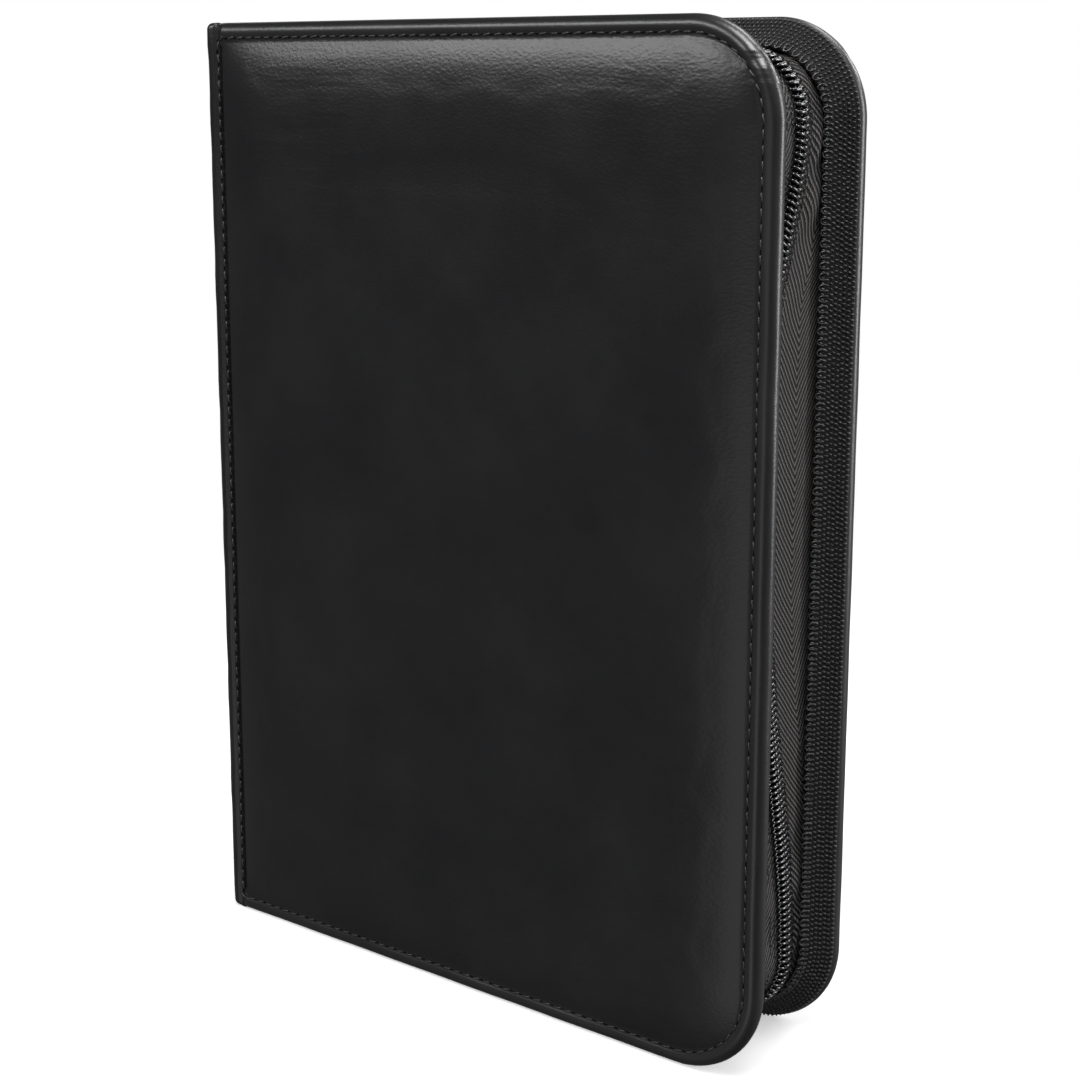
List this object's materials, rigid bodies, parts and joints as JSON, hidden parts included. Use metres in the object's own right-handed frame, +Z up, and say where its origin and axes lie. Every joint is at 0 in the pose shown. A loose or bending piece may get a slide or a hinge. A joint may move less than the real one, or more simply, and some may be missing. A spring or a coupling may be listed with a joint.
{
  "type": "card binder",
  "caption": "Zip-around padded card binder with hinged covers, a spine, pocket leaves, webbing gusset, zip chain, slider and pull.",
  "frame": {"origin": "middle of the box's base, where the binder stands", "axes": "+X from the spine to the fore edge, +Y from the front cover to the back cover, +Z up"},
  "size_m": [0.18, 0.042, 0.25],
  "materials": {
    "leatherette": "fine grain",
    "foam": "matte",
    "board": "matte",
    "lining": "matte",
    "webbing": "woven",
    "zip_tape": "woven",
    "coil": "gloss",
    "metal": "satin",
    "page": "satin film"
  },
  "bodies": {
    "spine": {"spine_skin": "leatherette", "spine_foam": "foam", "spine_board": "board", "spine_lining": "lining", "front_crease": "leatherette", "back_crease": "leatherette", "page_binding": "page"},
    "front_cover": {"front_skin": "leatherette", "front_foam": "foam", "front_board": "board", "front_lining": "lining", "front_zip_tape": "zip_tape", "front_zip_coil": "coil", "front_zip_stops": "metal"},
    "back_cover": {"back_skin": "leatherette", "back_foam": "foam", "back_board": "board", "back_lining": "lining", "back_webbing": "webbing", "back_zip_tape": "zip_tape", "back_zip_coil": "coil", "back_zip_stops": "metal"},
    "zip_slider": {"slider_body": "metal"},
    "zip_pull": {"pull_tab": "metal"},
    "leaf_01": {"leaf_01": "page"},
    "leaf_02": {"leaf_02": "page"},
    "leaf_03": {"leaf_03": "page"},
    "leaf_04": {"leaf_04": "page"},
    "leaf_05": {"leaf_05": "page"},
    "leaf_06": {"leaf_06": "page"},
    "leaf_07": {"leaf_07": "page"},
    "leaf_08": {"leaf_08": "page"},
    "leaf_09": {"leaf_09": "page"},
    "leaf_10": {"leaf_10": "page"},
    "leaf_11": {"leaf_11": "page"},
    "leaf_12": {"leaf_12": "page"},
    "leaf_13": {"leaf_13": "page"},
    "leaf_14": {"leaf_14": "page"},
    "leaf_15": {"leaf_15": "page"},
    "leaf_16": {"leaf_16": "page"},
    "leaf_17": {"leaf_17": "page"},
    "leaf_18": {"leaf_18": "page"},
    "leaf_19": {"leaf_19": "page"},
    "leaf_20": {"leaf_20": "page"}
  },
  "joints": [
    {"name": "front_fold", "type": "hinge", "parent": "spine", "child": "front_cover", "pos_m": [-0.0875, -0.0175, 0], "axis": [0, 0, -1], "range_deg": [0, 90]},
    {"name": "back_fold", "type": "hinge", "parent": "spine", "child": "back_cover", "pos_m": [-0.0875, 0.0175, 0], "axis": [0, 0, 1], "range_deg": [0, 90]},
    {"name": "zip_slide", "type": "slide", "parent": "back_cover", "child": "zip_slider", "axis": [1, 0, 0], "range_m": [0, 0.105], "deforming": ["front_zip_coil", "back_zip_coil"]},
    {"name": "pull_swing", "type": "hinge", "parent": "zip_slider", "child": "zip_pull", "pos_m": [-0.0545, 0.003, 0.246], "axis": [0, -1, 0], "range_deg": [0, 180]},
    {"name": "leaf_01_turn", "type": "hinge", "parent": "spine", "child": "leaf_01", "pos_m": [-0.07705, -0.01235, 0.125], "axis": [0, 0, -1], "range_deg": [0, 62]},
    {"name": "leaf_02_turn", "type": "hinge", "parent": "spine", "child": "leaf_02", "pos_m": [-0.07705, -0.01105, 0.125], "axis": [0, 0, -1], "range_deg": [0, 56]},
    {"name": "leaf_03_turn", "type": "hinge", "parent": "spine", "child": "leaf_03", "pos_m": [-0.07705, -0.00975, 0.125], "axis": [0, 0, -1], "range_deg": [0, 50]},
    {"name": "leaf_04_turn", "type": "hinge", "parent": "spine", "child": "leaf_04", "pos_m": [-0.07705, -0.00845, 0.125], "axis": [0, 0, -1], "range_deg": [0, 44]},
    {"name": "leaf_05_turn", "type": "hinge", "parent": "spine", "child": "leaf_05", "pos_m": [-0.07705, -0.00715, 0.125], "axis": [0, 0, -1], "range_deg": [0, 38]},
    {"name": "leaf_06_turn", "type": "hinge", "parent": "spine", "child": "leaf_06", "pos_m": [-0.07705, -0.00585, 0.125], "axis": [0, 0, -1], "range_deg": [0, 32]},
    {"name": "leaf_07_turn", "type": "hinge", "parent": "spine", "child": "leaf_07", "pos_m": [-0.07705, -0.00455, 0.125], "axis": [0, 0, -1], "range_deg": [0, 26]},
    {"name": "leaf_08_turn", "type": "hinge", "parent": "spine", "child": "leaf_08", "pos_m": [-0.07705, -0.00325, 0.125], "axis": [0, 0, -1], "range_deg": [0, 20]},
    {"name": "leaf_09_turn", "type": "hinge", "parent": "spine", "child": "leaf_09", "pos_m": [-0.07705, -0.00195, 0.125], "axis": [0, 0, -1], "range_deg": [0, 14]},
    {"name": "leaf_10_turn", "type": "hinge", "parent": "spine", "child": "leaf_10", "pos_m": [-0.07705, -0.00065, 0.125], "axis": [0, 0, -1], "range_deg": [0, 8]},
    {"name": "leaf_11_turn", "type": "hinge", "parent": "spine", "child": "leaf_11", "pos_m": [-0.07705, 0.00065, 0.125], "axis": [0, 0, 1], "range_deg": [0, 8]},
    {"name": "leaf_12_turn", "type": "hinge", "parent": "spine", "child": "leaf_12", "pos_m": [-0.07705, 0.00195, 0.125], "axis": [0, 0, 1], "range_deg": [0, 14]},
    {"name": "leaf_13_turn", "type": "hinge", "parent": "spine", "child": "leaf_13", "pos_m": [-0.07705, 0.00325, 0.125], "axis": [0, 0, 1], "range_deg": [0, 20]},
    {"name": "leaf_14_turn", "type": "hinge", "parent": "spine", "child": "leaf_14", "pos_m": [-0.07705, 0.00455, 0.125], "axis": [0, 0, 1], "range_deg": [0, 26]},
    {"name": "leaf_15_turn", "type": "hinge", "parent": "spine", "child": "leaf_15", "pos_m": [-0.07705, 0.00585, 0.125], "axis": [0, 0, 1], "range_deg": [0, 32]},
    {"name": "leaf_16_turn", "type": "hinge", "parent": "spine", "child": "leaf_16", "pos_m": [-0.07705, 0.00715, 0.125], "axis": [0, 0, 1], "range_deg": [0, 38]},
    {"name": "leaf_17_turn", "type": "hinge", "parent": "spine", "child": "leaf_17", "pos_m": [-0.07705, 0.00845, 0.125], "axis": [0, 0, 1], "range_deg": [0, 44]},
    {"name": "leaf_18_turn", "type": "hinge", "parent": "spine", "child": "leaf_18", "pos_m": [-0.07705, 0.00975, 0.125], "axis": [0, 0, 1], "range_deg": [0, 50]},
    {"name": "leaf_19_turn", "type": "hinge", "parent": "spine", "child": "leaf_19", "pos_m": [-0.07705, 0.01105, 0.125], "axis": [0, 0, 1], "range_deg": [0, 56]},
    {"name": "leaf_20_turn", "type": "hinge", "parent": "spine", "child": "leaf_20", "pos_m": [-0.07705, 0.01235, 0.125], "axis": [0, 0, 1], "range_deg": [0, 62]}
  ],
  "couplings": [
    {"joint": "leaf_01_turn", "follows": "front_fold", "ratio": 0.66667},
    {"joint": "leaf_02_turn", "follows": "front_fold", "ratio": 0.6},
    {"joint": "leaf_03_turn", "follows": "front_fold", "ratio": 0.53333},
    {"joint": "leaf_04_turn", "follows": "front_fold", "ratio": 0.46667},
    {"joint": "leaf_05_turn", "follows": "front_fold", "ratio": 0.4},
    {"joint": "leaf_06_turn", "follows": "front_fold", "ratio": 0.33333},
    {"joint": "leaf_07_turn", "follows": "front_fold", "ratio": 0.26667},
    {"joint": "leaf_08_turn", "follows": "front_fold", "ratio": 0.2},
    {"joint": "leaf_09_turn", "follows": "front_fold", "ratio": 0.13333},
    {"joint": "leaf_10_turn", "follows": "front_fold", "ratio": 0.06667},
    {"joint": "leaf_11_turn", "follows": "back_fold", "ratio": 0.06667},
    {"joint": "leaf_12_turn", "follows": "back_fold", "ratio": 0.13333},
    {"joint": "leaf_13_turn", "follows": "back_fold", "ratio": 0.2},
    {"joint": "leaf_14_turn", "follows": "back_fold", "ratio": 0.26667},
    {"joint": "leaf_15_turn", "follows": "back_fold", "ratio": 0.33333},
    {"joint": "leaf_16_turn", "follows": "back_fold", "ratio": 0.4},
    {"joint": "leaf_17_turn", "follows": "back_fold", "ratio": 0.46667},
    {"joint": "leaf_18_turn", "follows": "back_fold", "ratio": 0.53333},
    {"joint": "leaf_19_turn", "follows": "back_fold", "ratio": 0.6},
    {"joint": "leaf_20_turn", "follows": "back_fold", "ratio": 0.66667}
  ]
}
